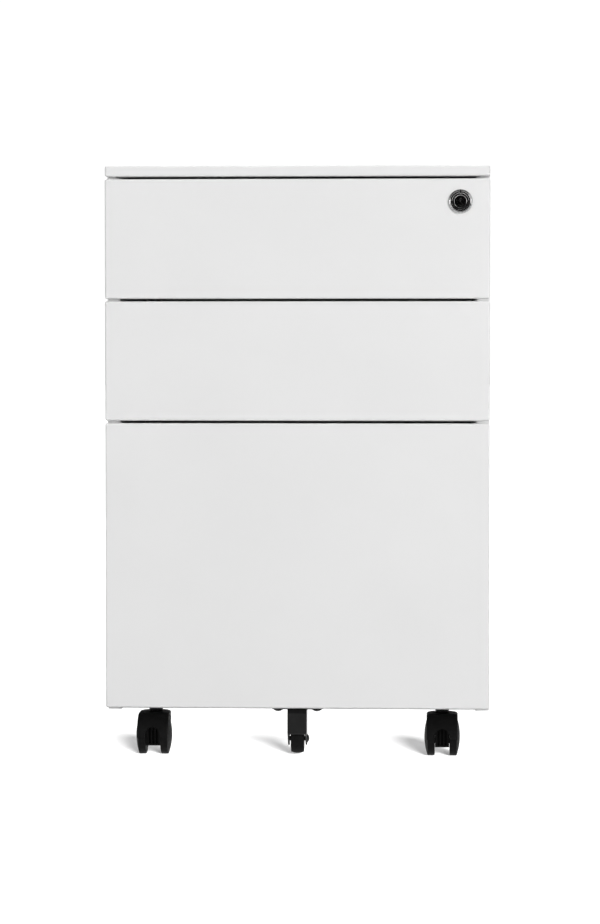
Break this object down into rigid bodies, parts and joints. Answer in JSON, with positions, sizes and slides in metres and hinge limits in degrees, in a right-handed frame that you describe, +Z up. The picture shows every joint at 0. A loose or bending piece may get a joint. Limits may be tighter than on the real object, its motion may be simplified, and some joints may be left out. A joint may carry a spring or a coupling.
{
  "type": "mobile filing cabinet",
  "caption": "Steel under-desk pedestal with two shallow drawers and a hanging-file drawer, side finger grips, a central lock and twin-wheel casters.",
  "frame": {"origin": "on the floor, under the middle of the whole object's box", "axes": "+Z up; the drawer fronts face -Y; +X is to the right for someone facing the drawers"},
  "size_m": [0.39, 0.5024, 0.6],
  "materials": {
    "white_paint": "fine white powder coat",
    "chrome_lock": "polished chrome plate",
    "zinc_steel": "zinc plated",
    "bright_steel": "turned steel",
    "black_nylon": "moulded black nylon",
    "black_wheel": "black moulded wheel",
    "black_steel": "black coated steel"
  },
  "bodies": {
    "cabinet": {"top_lid": "white_paint", "left_side_panel": "white_paint", "right_side_panel": "white_paint", "back_panel": "white_paint", "base_panel": "white_paint", "top_front_rail": "white_paint", "rear_slide_posts": "zinc_steel", "caster_plates": "bright_steel", "caster_stems": "black_steel", "caster_stem_nuts": "bright_steel", "lock_bar_guides": "zinc_steel", "slide_screws": "zinc_steel", "drawer_1_slide_outer": "zinc_steel", "drawer_2_slide_outer": "zinc_steel", "drawer_3_slide_outer": "zinc_steel"},
    "drawer_1": {"drawer_1_front": "white_paint", "drawer_1_front_liner": "white_paint", "drawer_1_box": "white_paint", "drawer_1_box_back": "white_paint", "drawer_1_slide_inner": "zinc_steel", "lock_housing": "chrome_lock", "lock_nut": "zinc_steel"},
    "drawer_1_runners": {"drawer_1_slide_middle": "zinc_steel"},
    "drawer_2": {"drawer_2_front": "white_paint", "drawer_2_front_liner": "white_paint", "drawer_2_box": "white_paint", "drawer_2_box_back": "white_paint", "drawer_2_slide_inner": "zinc_steel"},
    "drawer_2_runners": {"drawer_2_slide_middle": "zinc_steel"},
    "drawer_3": {"drawer_3_front": "white_paint", "drawer_3_front_liner": "white_paint", "drawer_3_box": "white_paint", "drawer_3_box_back": "white_paint", "drawer_3_slide_inner": "zinc_steel", "drawer_3_file_rails": "zinc_steel", "anti_tip_bracket": "black_steel", "anti_tip_screws": "black_steel", "anti_tip_axle": "black_steel"},
    "drawer_3_runners": {"drawer_3_slide_middle": "zinc_steel"},
    "lock_cylinder": {"lock_plug": "chrome_lock", "lock_cam": "zinc_steel", "lock_cam_screw": "bright_steel"},
    "lock_bar": {"lock_bar": "zinc_steel"},
    "anti_tip_wheel": {"anti_tip_wheel": "black_wheel"},
    "caster_front_left_swivel": {"caster_front_left_hood": "black_nylon", "caster_front_left_axle": "bright_steel"},
    "caster_front_left_wheel_left": {"caster_front_left_wheel_left": "black_wheel"},
    "caster_front_left_wheel_right": {"caster_front_left_wheel_right": "black_wheel"},
    "caster_front_right_swivel": {"caster_front_right_hood": "black_nylon", "caster_front_right_axle": "bright_steel"},
    "caster_front_right_wheel_left": {"caster_front_right_wheel_left": "black_wheel"},
    "caster_front_right_wheel_right": {"caster_front_right_wheel_right": "black_wheel"},
    "caster_rear_left_swivel": {"caster_rear_left_hood": "black_nylon", "caster_rear_left_axle": "bright_steel"},
    "caster_rear_left_wheel_left": {"caster_rear_left_wheel_left": "black_wheel"},
    "caster_rear_left_wheel_right": {"caster_rear_left_wheel_right": "black_wheel"},
    "caster_rear_right_swivel": {"caster_rear_right_hood": "black_nylon", "caster_rear_right_axle": "bright_steel"},
    "caster_rear_right_wheel_left": {"caster_rear_right_wheel_left": "black_wheel"},
    "caster_rear_right_wheel_right": {"caster_rear_right_wheel_right": "black_wheel"}
  },
  "joints": [
    {"name": "drawer_1_slide", "type": "slide", "parent": "cabinet", "child": "drawer_1", "axis": [0, -1, 0], "range_m": [0, 0.39]},
    {"name": "drawer_1_slide_runners", "type": "slide", "parent": "cabinet", "child": "drawer_1_runners", "axis": [0, -1, 0], "range_m": [0, 0.195]},
    {"name": "drawer_2_slide", "type": "slide", "parent": "cabinet", "child": "drawer_2", "axis": [0, -1, 0], "range_m": [0, 0.39]},
    {"name": "drawer_2_slide_runners", "type": "slide", "parent": "cabinet", "child": "drawer_2_runners", "axis": [0, -1, 0], "range_m": [0, 0.195]},
    {"name": "drawer_3_slide", "type": "slide", "parent": "cabinet", "child": "drawer_3", "axis": [0, -1, 0], "range_m": [0, 0.39]},
    {"name": "drawer_3_slide_runners", "type": "slide", "parent": "cabinet", "child": "drawer_3_runners", "axis": [0, -1, 0], "range_m": [0, 0.195]},
    {"name": "lock_turn", "type": "hinge", "parent": "drawer_1", "child": "lock_cylinder", "pos_m": [0.165, -0.24875, 0.5633], "axis": [0, -1, 0], "range_deg": [0, 90]},
    {"name": "lock_bar_lift", "type": "slide", "parent": "cabinet", "child": "lock_bar", "axis": [0, 0, 1], "range_m": [0, 0.01273]},
    {"name": "roller_anti_tip_spin", "type": "hinge", "parent": "drawer_3", "child": "anti_tip_wheel", "pos_m": [0, -0.23025, 0.017], "axis": [1, 0, 0], "continuous": true},
    {"name": "swivel_front_left", "type": "hinge", "parent": "cabinet", "child": "caster_front_left_swivel", "pos_m": [-0.1475, -0.20675, 0.04], "axis": [0, 0, 1], "continuous": true},
    {"name": "wheel_front_left_left_spin", "type": "hinge", "parent": "caster_front_left_swivel", "child": "caster_front_left_wheel_left", "pos_m": [-0.1475, -0.22675, 0.02], "axis": [1, 0, 0], "continuous": true},
    {"name": "wheel_front_left_right_spin", "type": "hinge", "parent": "caster_front_left_swivel", "child": "caster_front_left_wheel_right", "pos_m": [-0.1475, -0.22675, 0.02], "axis": [1, 0, 0], "continuous": true},
    {"name": "swivel_front_right", "type": "hinge", "parent": "cabinet", "child": "caster_front_right_swivel", "pos_m": [0.1475, -0.20675, 0.04], "axis": [0, 0, 1], "continuous": true},
    {"name": "wheel_front_right_left_spin", "type": "hinge", "parent": "caster_front_right_swivel", "child": "caster_front_right_wheel_left", "pos_m": [0.1475, -0.22675, 0.02], "axis": [1, 0, 0], "continuous": true},
    {"name": "wheel_front_right_right_spin", "type": "hinge", "parent": "caster_front_right_swivel", "child": "caster_front_right_wheel_right", "pos_m": [0.1475, -0.22675, 0.02], "axis": [1, 0, 0], "continuous": true},
    {"name": "swivel_rear_left", "type": "hinge", "parent": "cabinet", "child": "caster_rear_left_swivel", "pos_m": [-0.1475, 0.20925, 0.04], "axis": [0, 0, 1], "continuous": true},
    {"name": "wheel_rear_left_left_spin", "type": "hinge", "parent": "caster_rear_left_swivel", "child": "caster_rear_left_wheel_left", "pos_m": [-0.13519, 0.19349, 0.02], "axis": [0.788, 0.6157, 0], "continuous": true},
    {"name": "wheel_rear_left_right_spin", "type": "hinge", "parent": "caster_rear_left_swivel", "child": "caster_rear_left_wheel_right", "pos_m": [-0.13519, 0.19349, 0.02], "axis": [0.788, 0.6157, 0], "continuous": true},
    {"name": "swivel_rear_right", "type": "hinge", "parent": "cabinet", "child": "caster_rear_right_swivel", "pos_m": [0.1475, 0.20925, 0.04], "axis": [0, 0, 1], "continuous": true},
    {"name": "wheel_rear_right_left_spin", "type": "hinge", "parent": "caster_rear_right_swivel", "child": "caster_rear_right_wheel_left", "pos_m": [0.13092, 0.19807, 0.02], "axis": [0.5592, -0.829, 0], "continuous": true},
    {"name": "wheel_rear_right_right_spin", "type": "hinge", "parent": "caster_rear_right_swivel", "child": "caster_rear_right_wheel_right", "pos_m": [0.13092, 0.19807, 0.02], "axis": [0.5592, -0.829, 0], "continuous": true}
  ],
  "couplings": [
    {"joint": "drawer_1_slide_runners", "follows": "drawer_1_slide", "ratio": 0.5},
    {"joint": "drawer_2_slide_runners", "follows": "drawer_2_slide", "ratio": 0.5},
    {"joint": "drawer_3_slide_runners", "follows": "drawer_3_slide", "ratio": 0.5},
    {"joint": "lock_turn", "follows": "lock_bar_lift", "rad_per_m": 123.39}
  ]
}
